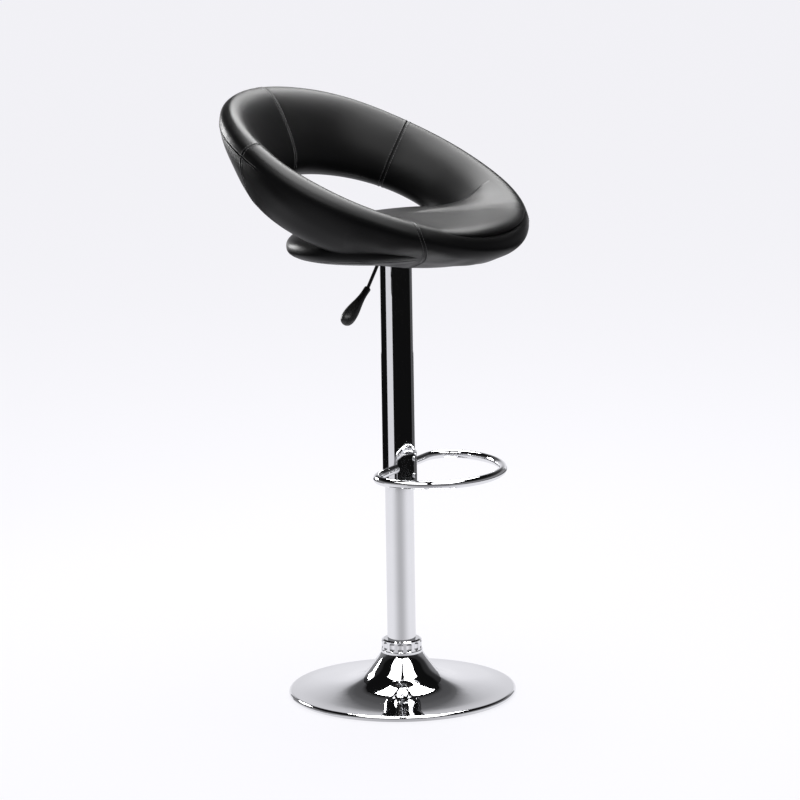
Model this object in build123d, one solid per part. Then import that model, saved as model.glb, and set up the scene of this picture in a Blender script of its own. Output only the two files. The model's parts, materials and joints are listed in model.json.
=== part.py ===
from build123d import *
import os
from math import cos, radians, sin, sqrt

# A bar stool on a gas lift: spun trumpet base, telescopic column, D-shaped footrest, round pad and a
# tilted ring that rises into a backrest. Millimetres, +Z up, the sitter faces -Y, and the origin is on
# the floor under the column. The seat is modelled at the top of its travel.

STAND = (Align.CENTER, Align.CENTER, Align.MIN)

# Travel, and the room left between the bush and the sleeve's cap when the seat is down
LIFT = 210.0
LOWERED_GAP = 18.0

# Room between pieces: pressed together, plain clearance, round a screw, and past a face that a cut must clear
PRESS_GAP = 0.02
CLEAR_GAP = 0.1
SCREW_GAP = 0.3
PAST = 1.0
RUNNING_GAP = 0.05

# Base
BASE_RADIUS = 200.0
RIM_RADIUS = 5.0
RIM_Z = 6.6
DISH_SHEET = 1.6
NECK_RADIUS = 36.5
NECK_Z = 77.0
DISH_PROFILE = [(NECK_RADIUS, NECK_Z), (49, 59), (66, 39), (92, 24.5), (130, 16.5), (165, 13)]
FLOOR_RING_INNER = 180.0
FLOOR_RING_TOP = 7.0
COVER_TOP = 1.8
WEIGHT_BOTTOM = 2.0
WEIGHT_TOP = 8.0
FLANGE_RADIUS = 60.0
FLANGE_TOP = 13.0
FLANGE_BOLT_CIRCLE = 44.0
FLANGE_BOLT_COUNT = 4
FLANGE_BOLT_TURN = 45.0
FLANGE_BOLT_RADIUS = 4.0
FLANGE_BOLT_END = 22.0
NUT_RADIUS = 7.5
NUT_HEIGHT = 6.5
HEX = 6

# Column
TUBE_OUTER = 25.0
TUBE_INNER = 23.2
SLEEVE_OUTER = 28.5
SLEEVE_INNER = 27.0
SLEEVE_BOTTOM = 391.0
SLEEVE_TOP = 776.0
CAP_HEIGHT = 14.0
GLIDE_FOOT = 4.0
GLIDE_TOP = 415.0
BUSH_LENGTH = 90.0
BUSH_FLANGE = 4.0
TUBE_TOP = SLEEVE_TOP - CAP_HEIGHT - LIFT - LOWERED_GAP - BUSH_FLANGE

# Fluted collar
COLLAR_BAND_TOP = 82.0
COLLAR_FLUTE_TOP = 99.0
COLLAR_TOP = 101.0
COLLAR_FLUTE_RADIUS = 35.0
COLLAR_TOP_RADIUS = 31.5
FLUTE_COUNT = 14
FLUTE_BALL = 9.0
FLUTE_STRAIGHT = 5.0
FLUTE_DEPTH = 2.0

# Gas lift
CYLINDER_OUTER = 14.0
CYLINDER_INNER = 12.5
CYLINDER_BOTTOM = 416.0
CYLINDER_TOP = 773.0
CYLINDER_END = 18.0
TAPER_START = 742.0
TAPER_TOP_RADIUS = 13.2
ROD_RADIUS = 5.0
ROD_BOTTOM = 22.0
ROD_TOP = 452.0
ROD_GUIDE_BOTTOM = 418.0
ROD_GUIDE_TOP = 432.0
PISTON_HEIGHT = 12.0
SEAL_HEIGHT = 4.0
SEAL_INNER = 11.0
ROD_SEAT_BOTTOM = 30.0
ROD_SEAT_TOP = 34.0
WASHER = 2.0
WASHER_RADIUS = 14.0
BALL_RADIUS = 1.9
BALL_COUNT = 10
BALL_CIRCLE = 9.5
CAGE_HALF = 0.6
SHOULDER_RADIUS = 9.0
SHOULDER_HEIGHT = 5.0
CLIP_BOTTOM = 26.8
CLIP_THICKNESS = 1.4
CLIP_GROOVE_RADIUS = 4.0
CLIP_MOUTH = 6.0
VALVE_RADIUS = 2.5
VALVE_BOTTOM = 757.0
VALVE_TOP = 778.2

# Footrest
HOOP_ROD = 7.5
HOOP_Z = 412.0
HOOP_BACK_Y = -9.0
HOOP_ROUND = 127.0
HOOP_CORNER = 48.0
HOOP_STRAIGHT = 5.0
HOOP_END_DEPTH = 4.0
SADDLE_OUTER = 31.5
SADDLE_BOTTOM = 384.0
SADDLE_TOP = 438.0
SADDLE_HALF_ANGLE = 68.0
SADDLE_RIM = 1.2
SADDLE_SCREW_Z = (398.0, 428.0)
SADDLE_SCREW_HEAD = 4.5
SADDLE_SCREW_CROWN = 2.2

# Seat plate and board
PLATE_BOTTOM = 790.0
PLATE_TOP = 793.0
PLATE_X = 150.0
PLATE_Y = 160.0
PLATE_CORNER = 18.0
SOCKET_RADIUS = 22.0
SOCKET_BOTTOM = 758.0
SOCKET_BORE = 9.0
BOARD_RADIUS = 138.0
BOARD_TOP = 805.0
BOARD_ROOM = 2.0
PLATE_BOLT_X = 58.0
PLATE_BOLT_Y = 60.0
BOLT_RADIUS = 3.0
BOLT_HEAD = 5.5
BOLT_HEAD_HEIGHT = 3.2
BOLT_END = 803.0
KEY_RADIUS = 2.3
KEY_DEPTH = 2.0
TEE_BARREL = 4.5
TEE_LENGTH = 8.0
TEE_RADIUS = 9.0
TEE_FLANGE = 1.2

# Lever
LEVER_ROD = 3.0
LEVER_Z = 781.5
LEVER_PIVOT_X = -26.0
LEVER_INNER_X = 3.0
LEVER_PIN = 1.5
LEVER_PIN_LENGTH = 15.0
LEVER_BEND_RADIUS = 14.0
LEVER_SLOT_WIDTH = 8.4
LEVER_SLOT_DROP = 6.5
EAR_WIDTH = 9.0
EAR_THICK = 2.6
EAR_Y = 5.6
EAR_BELOW_PIN = 3.5
LEVER_BEND_X = -62.0
LEVER_IN_GRIP = 45.0
GRIP_START = (-100.0, 744.0)
GRIP_END = (-180.0, 698.0)
GRIP_NECK = 6.0
GRIP_BULB = 12.5

# Upholstery. The ring lies in a plane tilted up at the back, about a centre behind the column.
RING_TILT = 23.0
RING_CENTRE = (0.0, 55.0, 899.0)
RING_RADIUS = 216.0
RING_HALF_LENGTH = 73.0
RING_LENGTH_SWING = 11.0
RING_HALF_THICK = 31.5
RING_LEAN = 44.0
RING_LEAN_SWING = 13.0
RING_LEAN_BACK = -3.0
RING_SECTIONS = 9
HOOP_FRAME_ROD = 8.0
STRUT_ROD = 5.0
STRUT_ANGLES = (150.0, 108.0, -108.0, -150.0)
STRUT_FOOT_REACH = 108.0
STRUT_FOOT_RADIUS = 14.0
STRUT_FOOT_PLATE = 3.0
STRUT_START_Z = 812.0
PAD_CENTRE = (0.0, -12.7, 821.7)
PAD_RADIUS = 198.0
PAD_HALF_HEIGHT = 35.0
PAD_TILT = -4.0
SOFT_GAP = 0.5


def ring(outer, inner, bottom, top):
    """A plain upright ring."""
    blank = Pos(0, 0, bottom) * Cylinder(outer, top - bottom, align=STAND)
    return blank - Pos(0, 0, bottom - 1) * Cylinder(inner, top - bottom + 2, align=STAND)


def rod(radius, bottom, top, x=0.0, y=0.0):
    """An upright round bar."""
    return Pos(x, y, bottom) * Cylinder(radius, top - bottom, align=STAND)


def around(count, radius, turn=0.0):
    """Places evenly spaced on a circle about the column."""
    return [(radius * cos(radians(360 * i / count + turn)), radius * sin(radians(360 * i / count + turn)))
            for i in range(count)]


def base_dish():
    rim_x = BASE_RADIUS - RIM_RADIUS
    rim_top = (rim_x, RIM_Z + RIM_RADIUS)
    outer = [*DISH_PROFILE, rim_top]
    inner = [(x, z - DISH_SHEET) for x, z in outer]
    inner[0] = (NECK_RADIUS - DISH_SHEET, NECK_Z)
    inner[-1] = (rim_x, RIM_Z + RIM_RADIUS - DISH_SHEET)
    wire = (Spline(*outer, tangents=[(0.45, -1), (1, -0.02)])
            + Line(outer[-1], inner[-1])
            + Spline(*inner[::-1], tangents=[(-1, 0.02), (-0.45, 1)])
            + Line(inner[0], outer[0]))
    sheet = revolve(Plane.XZ * make_face(wire), Axis.Z)
    bead = revolve(Plane.XZ * Pos(rim_x, RIM_Z) * Circle(RIM_RADIUS), Axis.Z)
    return sheet + bead


def base_weight():
    disc = ring(FLOOR_RING_INNER - PAST, TUBE_OUTER + PAST, WEIGHT_BOTTOM, WEIGHT_TOP)
    for x, y in around(FLANGE_BOLT_COUNT, FLANGE_BOLT_CIRCLE, FLANGE_BOLT_TURN):
        disc -= Pos(x, y, 0) * bolt_shape(SCREW_GAP)
    return disc


def floor_ring():
    return ring(BASE_RADIUS - 2 * RIM_RADIUS - CLEAR_GAP, FLOOR_RING_INNER, 0, FLOOR_RING_TOP)


def base_cover():
    """A plastic disc that closes the underside."""
    return rod(FLOOR_RING_INNER - CLEAR_GAP, 0, COVER_TOP)


def column_flange():
    disc = ring(FLANGE_RADIUS, TUBE_OUTER + PRESS_GAP, WEIGHT_TOP, FLANGE_TOP)
    for x, y in around(FLANGE_BOLT_COUNT, FLANGE_BOLT_CIRCLE, FLANGE_BOLT_TURN):
        disc -= rod(FLANGE_BOLT_RADIUS + SCREW_GAP, WEIGHT_TOP - PAST, FLANGE_TOP + PAST, x, y)
    return disc


def bolt_shape(gap=0.0):
    """A countersunk bolt standing on its head, at the origin."""
    bottom = WEIGHT_BOTTOM + 2 * CLEAR_GAP
    cone = Cone(2 * FLANGE_BOLT_RADIUS + gap, FLANGE_BOLT_RADIUS + gap, FLANGE_BOLT_RADIUS, align=STAND)
    return Pos(0, 0, bottom - gap) * cone + rod(FLANGE_BOLT_RADIUS + gap, bottom, FLANGE_BOLT_END)


def flange_bolts():
    places = around(FLANGE_BOLT_COUNT, FLANGE_BOLT_CIRCLE, FLANGE_BOLT_TURN)
    return Compound([Pos(x, y, 0) * bolt_shape() for x, y in places])


def flange_nuts():
    nut = extrude(RegularPolygon(NUT_RADIUS, HEX) - Circle(FLANGE_BOLT_RADIUS + CLEAR_GAP), NUT_HEIGHT)
    places = around(FLANGE_BOLT_COUNT, FLANGE_BOLT_CIRCLE, FLANGE_BOLT_TURN)
    return Compound([Pos(x, y, FLANGE_TOP) * nut for x, y in places])


def lower_tube():
    return ring(TUBE_OUTER, TUBE_INNER, WEIGHT_TOP, TUBE_TOP)


def base_collar():
    """A turned ring: plain band, fluted belt, bevelled shoulder."""
    inner = TUBE_OUTER + CLEAR_GAP
    profile = Polyline((inner, NECK_Z), (NECK_RADIUS, NECK_Z), (NECK_RADIUS, COLLAR_BAND_TOP - 1),
                       (COLLAR_FLUTE_RADIUS, COLLAR_BAND_TOP), (COLLAR_FLUTE_RADIUS, COLLAR_FLUTE_TOP),
                       (COLLAR_TOP_RADIUS, COLLAR_TOP), (inner, COLLAR_TOP), close=True)
    collar = revolve(Plane.XZ * make_face(profile), Axis.Z)
    middle = (COLLAR_BAND_TOP + COLLAR_FLUTE_TOP) / 2
    flute = Cylinder(FLUTE_BALL, FLUTE_STRAIGHT)
    for side in (-1, 1):
        flute += Pos(0, 0, side * FLUTE_STRAIGHT / 2) * Sphere(FLUTE_BALL)
    for x, y in around(FLUTE_COUNT, COLLAR_FLUTE_RADIUS - FLUTE_DEPTH + FLUTE_BALL):
        collar -= Pos(x, y, middle) * flute
    return collar


def guide_bush():
    sleeve = ring(TUBE_INNER - PRESS_GAP, CYLINDER_OUTER + RUNNING_GAP, TUBE_TOP - BUSH_LENGTH, TUBE_TOP)
    return sleeve + ring(TUBE_OUTER, CYLINDER_OUTER + RUNNING_GAP, TUBE_TOP, TUBE_TOP + BUSH_FLANGE)


def rod_seat():
    return ring(TUBE_INNER - PRESS_GAP, ROD_RADIUS + RUNNING_GAP, ROD_SEAT_BOTTOM, ROD_SEAT_TOP)


def lower_washer():
    return ring(WASHER_RADIUS, ROD_RADIUS + SCREW_GAP, ROD_SEAT_TOP, ROD_SEAT_TOP + WASHER)


def ball_centre_z():
    return ROD_SEAT_TOP + WASHER + BALL_RADIUS + CLEAR_GAP


def bearing_top():
    return ball_centre_z() + BALL_RADIUS + CLEAR_GAP


def bearing_balls():
    z = ball_centre_z()
    return Compound([Pos(x, y, z) * Sphere(BALL_RADIUS) for x, y in around(BALL_COUNT, BALL_CIRCLE)])


def bearing_cage():
    z = ball_centre_z()
    cage = ring(WASHER_RADIUS - PAST, ROD_RADIUS + SCREW_GAP, z - CAGE_HALF, z + CAGE_HALF)
    for x, y in around(BALL_COUNT, BALL_CIRCLE):
        cage -= Pos(x, y, z) * Sphere(BALL_RADIUS + CLEAR_GAP)
    return cage


def upper_washer():
    return ring(WASHER_RADIUS, ROD_RADIUS + PRESS_GAP, bearing_top(), bearing_top() + WASHER)


def piston_rod():
    bar = rod(ROD_RADIUS, ROD_BOTTOM, ROD_TOP)
    shoulder = bearing_top() + WASHER
    bar += rod(SHOULDER_RADIUS, shoulder, shoulder + SHOULDER_HEIGHT)
    return bar - ring(ROD_RADIUS + PAST, CLIP_GROOVE_RADIUS, CLIP_BOTTOM, CLIP_BOTTOM + CLIP_THICKNESS)


def retaining_washer():
    bottom = CLIP_BOTTOM + CLIP_THICKNESS
    return ring(SHOULDER_RADIUS, ROD_RADIUS + CLEAR_GAP, bottom, bottom + CLIP_THICKNESS)


def rod_clip():
    clip = ring(SHOULDER_RADIUS, CLIP_GROOVE_RADIUS + PRESS_GAP, CLIP_BOTTOM, CLIP_BOTTOM + CLIP_THICKNESS)
    mouth = Box(2 * SHOULDER_RADIUS, CLIP_MOUTH, 3 * CLIP_THICKNESS)
    return clip - Pos(SHOULDER_RADIUS, 0, CLIP_BOTTOM) * mouth


def piston():
    body = ring(CYLINDER_INNER - RUNNING_GAP, ROD_RADIUS + PRESS_GAP, ROD_TOP - PISTON_HEIGHT, ROD_TOP)
    return body - seal_ring(CYLINDER_INNER + PAST, SEAL_INNER, SEAL_HEIGHT)


def seal_ring(outer, inner, height):
    middle = ROD_TOP - PISTON_HEIGHT / 2
    return ring(outer, inner, middle - height / 2, middle + height / 2)


def piston_seal():
    return seal_ring(CYLINDER_INNER - RUNNING_GAP, SEAL_INNER + RUNNING_GAP, SEAL_HEIGHT - CLEAR_GAP)


def cylinder_outside(gap=0.0):
    straight = rod(CYLINDER_OUTER + gap, CYLINDER_BOTTOM, TAPER_START)
    taper = Pos(0, 0, TAPER_START) * Cone(CYLINDER_OUTER + gap, TAPER_TOP_RADIUS + gap,
                                          CYLINDER_TOP - TAPER_START, align=STAND)
    return straight + taper


def gas_cylinder():
    body = cylinder_outside() - rod(CYLINDER_INNER, CYLINDER_BOTTOM - PAST, CYLINDER_TOP - CYLINDER_END)
    return body - rod(VALVE_RADIUS + RUNNING_GAP, CYLINDER_BOTTOM, CYLINDER_TOP + PAST)


def rod_guide():
    return ring(CYLINDER_INNER - PRESS_GAP, ROD_RADIUS + RUNNING_GAP, ROD_GUIDE_BOTTOM, ROD_GUIDE_TOP)


def valve_pin():
    return rod(VALVE_RADIUS, VALVE_BOTTOM, VALVE_TOP)


def screw_holes(radius):
    """Bores for the saddle's screws, running forwards out of the sleeve."""
    bore = Rot(90, 0, 0) * Cylinder(radius, SADDLE_OUTER + PAST, align=STAND)
    return [Pos(0, 0, z) * bore for z in SADDLE_SCREW_Z]


def upper_sleeve():
    sleeve = ring(SLEEVE_OUTER, SLEEVE_INNER, SLEEVE_BOTTOM, SLEEVE_TOP)
    for bore in screw_holes(BOLT_RADIUS):
        sleeve -= bore
    return sleeve


def glide_ring():
    bore = TUBE_OUTER + RUNNING_GAP
    foot = ring(SLEEVE_OUTER, bore, SLEEVE_BOTTOM - GLIDE_FOOT, SLEEVE_BOTTOM)
    return foot + ring(SLEEVE_INNER - PRESS_GAP, bore, SLEEVE_BOTTOM, GLIDE_TOP)


def sleeve_cap():
    return ring(SLEEVE_INNER - PRESS_GAP, SOCKET_RADIUS + PRESS_GAP, SLEEVE_TOP - CAP_HEIGHT, SLEEVE_TOP)


def saddle_blank():
    """A curved plate that wraps the front of the sleeve."""
    shell = ring(SADDLE_OUTER, SLEEVE_OUTER + PRESS_GAP, SADDLE_BOTTOM, SADDLE_TOP)
    reach = 2 * SADDLE_OUTER
    half = radians(SADDLE_HALF_ANGLE)
    corners = [(0, 0), (reach * sin(half), -reach * cos(half)), (reach, -reach * 2),
               (-reach, -reach * 2), (-reach * sin(half), -reach * cos(half))]
    return shell & Pos(0, 0, SADDLE_BOTTOM) * extrude(make_face(Polyline(*corners, close=True)), SADDLE_TOP)


def footrest_saddle():
    """The saddle plate with its outer edges rounded and bored for the screws."""
    blank = saddle_blank()
    outer_face = blank.faces().filter_by(GeomType.CYLINDER).sort_by(lambda face: face.radius)[-1]
    saddle = fillet(outer_face.edges(), SADDLE_RIM)
    for bore in screw_holes(BOLT_RADIUS + CLEAR_GAP):
        saddle -= bore
    return saddle


def saddle_screws():
    """Button-head screws through the saddle into the sleeve."""
    turn = Rot(90, 0, 0)
    start = SLEEVE_INNER + 2 * CLEAR_GAP
    length = SADDLE_OUTER - start + CLEAR_GAP
    shank = Pos(0, 0, start) * Cylinder(BOLT_RADIUS - CLEAR_GAP, length, align=STAND)
    head = Pos(0, 0, SADDLE_OUTER + PRESS_GAP) * Cylinder(SADDLE_SCREW_HEAD, SADDLE_SCREW_CROWN, align=STAND)
    return Compound([Pos(0, 0, z) * turn * (shank + head) for z in SADDLE_SCREW_Z])


def hoop_half_path():
    """Half of the D in its own plane, from the saddle round to the front."""
    start = sqrt(SLEEVE_OUTER**2 - HOOP_BACK_Y**2) - HOOP_END_DEPTH
    corner = HOOP_ROUND - HOOP_CORNER
    diagonal = HOOP_CORNER * sqrt(0.5)
    middle = (corner + diagonal, HOOP_BACK_Y - HOOP_CORNER + diagonal)
    side_end = HOOP_BACK_Y - HOOP_CORNER
    round_y = side_end - HOOP_STRAIGHT
    bow = HOOP_ROUND * sqrt(0.5)
    return (Line((start, HOOP_BACK_Y), (corner, HOOP_BACK_Y))
            + ThreePointArc((corner, HOOP_BACK_Y), middle, (HOOP_ROUND, side_end))
            + Line((HOOP_ROUND, side_end), (HOOP_ROUND, round_y))
            + ThreePointArc((HOOP_ROUND, round_y), (bow, round_y - bow), (0, round_y - HOOP_ROUND)))


def footrest_hoop():
    """A round bar bent to a D, with its ends cut to fit the sleeve and the saddle's edges."""
    path = Pos(0, 0, HOOP_Z) * hoop_half_path()
    half = sweep(Plane(path @ 0, z_dir=path % 0) * Circle(HOOP_ROD), path=path)
    whole = half + mirror(half, Plane.YZ)
    return whole - rod(SLEEVE_OUTER + PRESS_GAP, SADDLE_BOTTOM, SADDLE_TOP) - saddle_blank()


def lever_ears():
    """Two lugs under the plate that carry the lever's pin."""
    drop = PLATE_BOTTOM - LEVER_Z + EAR_BELOW_PIN
    ear = Box(EAR_WIDTH, EAR_THICK, drop, align=STAND)
    pair = [Pos(LEVER_PIVOT_X, side * EAR_Y, PLATE_BOTTOM - drop) * ear for side in (-1, 1)]
    return pair[0] + pair[1] - lever_pin_shape(PRESS_GAP, PAST)


def seat_plate():
    outline = RectangleRounded(PLATE_X, PLATE_Y, PLATE_CORNER)
    plate = Pos(0, 0, PLATE_BOTTOM) * extrude(outline, PLATE_TOP - PLATE_BOTTOM)
    socket = rod(SOCKET_RADIUS, SOCKET_BOTTOM, PLATE_BOTTOM)
    slot_bottom = LEVER_Z - LEVER_SLOT_DROP
    slot = Box(2 * SOCKET_RADIUS, LEVER_SLOT_WIDTH, PLATE_BOTTOM - slot_bottom, align=STAND)
    body = plate + socket - Pos(-SOCKET_RADIUS + SOCKET_BORE, 0, slot_bottom) * slot + lever_ears()
    body -= cylinder_outside(PRESS_GAP)
    body -= rod(SOCKET_BORE, CYLINDER_TOP, PLATE_TOP + PAST)
    for x, y in plate_bolt_places():
        body -= rod(BOLT_RADIUS + SCREW_GAP, PLATE_BOTTOM - PAST, PLATE_TOP + PAST, x, y)
    return body


def plate_bolt_places():
    return [(x * PLATE_BOLT_X, y * PLATE_BOLT_Y) for x in (-1, 1) for y in (-1, 1)]


def plate_screws():
    """Button screws with a hexagon key socket, up through the plate."""
    head_bottom = PLATE_BOTTOM - BOLT_HEAD_HEIGHT
    screws = []
    for x, y in plate_bolt_places():
        head = rod(BOLT_HEAD, head_bottom, PLATE_BOTTOM, x, y)
        key = Pos(x, y, head_bottom) * extrude(RegularPolygon(KEY_RADIUS, HEX), KEY_DEPTH)
        screws.append(head + rod(BOLT_RADIUS, PLATE_BOTTOM, BOLT_END, x, y) - key)
    return Compound(screws)


def tee_nuts():
    nuts = []
    for x, y in plate_bolt_places():
        barrel = rod(TEE_BARREL, BOARD_TOP - TEE_LENGTH, BOARD_TOP, x, y)
        flange = rod(TEE_RADIUS, BOARD_TOP, BOARD_TOP + TEE_FLANGE, x, y)
        bore = rod(BOLT_RADIUS + RUNNING_GAP, PLATE_TOP, BOARD_TOP + 2 * TEE_FLANGE, x, y)
        nuts.append(barrel + flange - bore)
    return Compound(nuts)


def seat_board():
    board = rod(BOARD_RADIUS, PLATE_TOP, BOARD_TOP)
    for x, y in plate_bolt_places():
        board -= rod(BOLT_RADIUS + SCREW_GAP, PLATE_TOP - PAST, BOARD_TOP + PAST, x, y)
        board -= rod(TEE_BARREL + RUNNING_GAP, BOARD_TOP - TEE_LENGTH, BOARD_TOP + PAST, x, y)
    return board


def ring_plane():
    """Across the ring: x to the sitter's left, y up the slope to the back, z out of the ring."""
    tilt = radians(RING_TILT)
    return Plane(origin=RING_CENTRE, x_dir=(1, 0, 0), z_dir=(0, -sin(tilt), cos(tilt)))


def ring_section(angle, gap=0.0):
    """The ring's cross-section, an oval that leans outwards. Angle 0 is the back and 180 the front."""
    turn = radians(angle)
    half_length = RING_HALF_LENGTH + RING_LENGTH_SWING * cos(2 * turn)
    lean = radians(RING_LEAN + RING_LEAN_BACK * cos(turn) + RING_LEAN_SWING * cos(2 * turn))
    tilted = ring_plane()
    outward = Vector(sin(turn), cos(turn), 0)
    centre = tilted.from_local_coords(outward * RING_RADIUS)
    across = tilted.from_local_coords(outward * (RING_RADIUS + cos(lean)) - Vector(0, 0, sin(lean))) - centre
    along = tilted.from_local_coords(outward * RING_RADIUS + Vector(cos(turn), -sin(turn), 0)) - centre
    section = Plane(origin=centre, x_dir=across, z_dir=along)
    return section * Ellipse(RING_HALF_THICK + gap, half_length + gap)


def ring_outside(gap=0.0):
    """The whole padded ring: one side lofted from back to front, and its mirror image."""
    step = 180 / (RING_SECTIONS - 1)
    side = loft([ring_section(step * i, gap) for i in range(RING_SECTIONS)])
    return side + mirror(side, Plane.YZ)


def hoop_point(angle):
    return ring_plane().from_local_coords(
        Vector(RING_RADIUS * sin(radians(angle)), RING_RADIUS * cos(radians(angle)), 0))


def ring_frame():
    return ring_plane() * Torus(RING_RADIUS, HOOP_FRAME_ROD)


def strut(angle):
    """One strut: a round foot on the board and a bar out to the hoop."""
    foot_x = STRUT_FOOT_REACH * sin(radians(angle))
    foot_y = STRUT_FOOT_REACH * cos(radians(angle)) * cos(radians(RING_TILT))
    start = Vector(foot_x, foot_y, STRUT_START_Z)
    run = hoop_point(angle) - start
    bar = Plane(origin=start, z_dir=run) * Cylinder(STRUT_ROD, run.length, align=STAND)
    knee = Pos(*start) * Sphere(STRUT_ROD)
    foot = rod(STRUT_FOOT_RADIUS, BOARD_TOP, BOARD_TOP + STRUT_FOOT_PLATE, foot_x, foot_y)
    post = rod(STRUT_ROD, BOARD_TOP, STRUT_START_Z, foot_x, foot_y)
    return bar + knee + foot + post


def ring_struts():
    hoop = ring_frame()
    return Compound([(strut(a) - hoop).solids().sort_by(SortBy.VOLUME)[-1] for a in STRUT_ANGLES])


def board_space():
    """The room that the board, and the tee nuts in it, take inside the upholstery."""
    return rod(BOARD_RADIUS + BOARD_ROOM, SOCKET_BOTTOM, BOARD_TOP + TEE_FLANGE + SOFT_GAP)


def back_ring():
    """Foam and cover, moulded over the steel hoop, so the hoop's own room isn't cut out of it."""
    return ring_outside() - board_space()


def pad_outside():
    """A round cushion: an upright oval section turned about its own middle, tipped a little to the rear."""
    edge = PAD_HALF_HEIGHT
    flat = PAD_RADIUS - edge * 1.5
    shoulder = (flat * 0.9, edge * 0.93)
    crown = (Line((0, -edge), (flat, -edge))
             + ThreePointArc((flat, -edge), (PAD_RADIUS - edge * 0.35, -edge * 0.66), (PAD_RADIUS, 0))
             + ThreePointArc((PAD_RADIUS, 0), (PAD_RADIUS - edge * 0.45, edge * 0.62), shoulder)
             + ThreePointArc(shoulder, (flat * 0.45, edge * 0.985), (0, edge))
             + Line((0, edge), (0, -edge)))
    return Pos(*PAD_CENTRE) * Rot(PAD_TILT, 0, 0) * revolve(Plane.XZ * make_face(crown), Axis.Z)


def seat_pad():
    """One side of the cushion, with room for the board and the ring, and its mirror image."""
    width = 3 * PAD_RADIUS
    one_side = Pos(width / 2, 0, PAD_CENTRE[2]) * Box(width, width, PAD_RADIUS)
    side = (pad_outside() - board_space() - ring_outside(SOFT_GAP)) & one_side
    return side + mirror(side, Plane.YZ)


def lever_path():
    grip_run = Vector(GRIP_END[0] - GRIP_START[0], 0, GRIP_END[1] - GRIP_START[1]).normalized()
    inside = Vector(GRIP_START[0], 0, GRIP_START[1]) + grip_run * LEVER_IN_GRIP
    return FilletPolyline((LEVER_INNER_X, 0, LEVER_Z), (LEVER_BEND_X, 0, LEVER_Z),
                          (GRIP_START[0], 0, GRIP_START[1]), inside, radius=LEVER_BEND_RADIUS)


def lever_rod(gap=0.0):
    path = lever_path()
    bar = sweep(Plane(path @ 0, z_dir=path % 0) * Circle(LEVER_ROD + gap), path=path)
    return bar - lever_pin_shape(RUNNING_GAP)


def lever_grip():
    """A teardrop handle turned about the lever's last run."""
    start = Vector(GRIP_START[0], 0, GRIP_START[1])
    run = Vector(GRIP_END[0], 0, GRIP_END[1]) - start
    length = run.length
    side = [(GRIP_NECK, 0), (GRIP_NECK, length * 0.18), (GRIP_BULB * 0.78, length * 0.5),
            (GRIP_BULB, length * 0.78), (0, length)]
    profile = Spline(*side, tangents=[(0, 1), (-1, 0)]) + Polyline((0, length), (0, 0), (GRIP_NECK, 0))
    grip = Plane(origin=start, x_dir=(0, 1, 0), z_dir=run) * revolve(Plane.XZ * make_face(profile), Axis.Z)
    return grip - lever_rod(PRESS_GAP)


def lever_pin_shape(gap=0.0, longer=0.0):
    pin = Cylinder(LEVER_PIN + gap, LEVER_PIN_LENGTH + longer)
    return Pos(LEVER_PIVOT_X, 0, LEVER_Z) * Rot(90, 0, 0) * pin


def lever_pin():
    return lever_pin_shape()


BASE_PARTS = [base_dish, base_weight, floor_ring, base_cover, column_flange, flange_bolts, flange_nuts,
              lower_tube, base_collar, guide_bush, rod_seat, lower_washer]
ROD_PARTS = [piston_rod, piston, piston_seal, upper_washer, bearing_balls, bearing_cage, retaining_washer,
             rod_clip]
SEAT_PARTS = [gas_cylinder, rod_guide, upper_sleeve, glide_ring, sleeve_cap, footrest_saddle, footrest_hoop,
              saddle_screws, seat_plate, plate_screws, tee_nuts, seat_board, ring_frame, ring_struts,
              seat_pad, back_ring, lever_pin]
LEVER_PARTS = [lever_rod, lever_grip, valve_pin]

os.makedirs("parts", exist_ok=True)
for make in BASE_PARTS + ROD_PARTS + SEAT_PARTS + LEVER_PARTS:
    export_step(make(), f"parts/{make.__name__}.step")
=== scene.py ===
"""Looks for the ring-back bar stool: upholstery, stitching, materials, studio and camera.

Metres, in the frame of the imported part: +Z up the column, the sitter faces -Y, the floor is z = 0.
"""

import json
from math import cos, pi, radians, sin

import bpy
import numpy as np
from mathutils import Matrix, Vector
from mathutils.bvhtree import BVHTree

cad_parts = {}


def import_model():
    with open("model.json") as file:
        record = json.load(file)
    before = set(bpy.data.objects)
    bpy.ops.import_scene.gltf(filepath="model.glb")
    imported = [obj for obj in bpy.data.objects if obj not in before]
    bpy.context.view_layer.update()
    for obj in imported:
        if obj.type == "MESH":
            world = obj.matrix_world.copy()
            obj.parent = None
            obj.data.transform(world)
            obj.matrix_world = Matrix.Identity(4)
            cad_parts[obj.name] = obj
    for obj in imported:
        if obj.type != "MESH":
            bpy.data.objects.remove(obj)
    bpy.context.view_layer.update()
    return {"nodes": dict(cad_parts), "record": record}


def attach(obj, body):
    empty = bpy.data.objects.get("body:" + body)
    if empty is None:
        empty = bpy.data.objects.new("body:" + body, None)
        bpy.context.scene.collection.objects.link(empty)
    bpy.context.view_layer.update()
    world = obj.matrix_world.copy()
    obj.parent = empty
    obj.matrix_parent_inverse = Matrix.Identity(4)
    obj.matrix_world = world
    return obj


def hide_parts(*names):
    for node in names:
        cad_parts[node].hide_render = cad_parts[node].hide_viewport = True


# Camera: a long lens, a little above the seat, on the sitter's right and front
CAMERA_PLACE = Vector((-7.557, -4.311, 2.4))
CAMERA_AIM_Z = 0.529
CAMERA_AIM_RIGHT = 0.0036
CAMERA_LENS = 229.5
CAMERA_SENSOR = 36.0
CAMERA_ROLL = radians(-0.9)
CAMERA_REACH = 200

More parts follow.
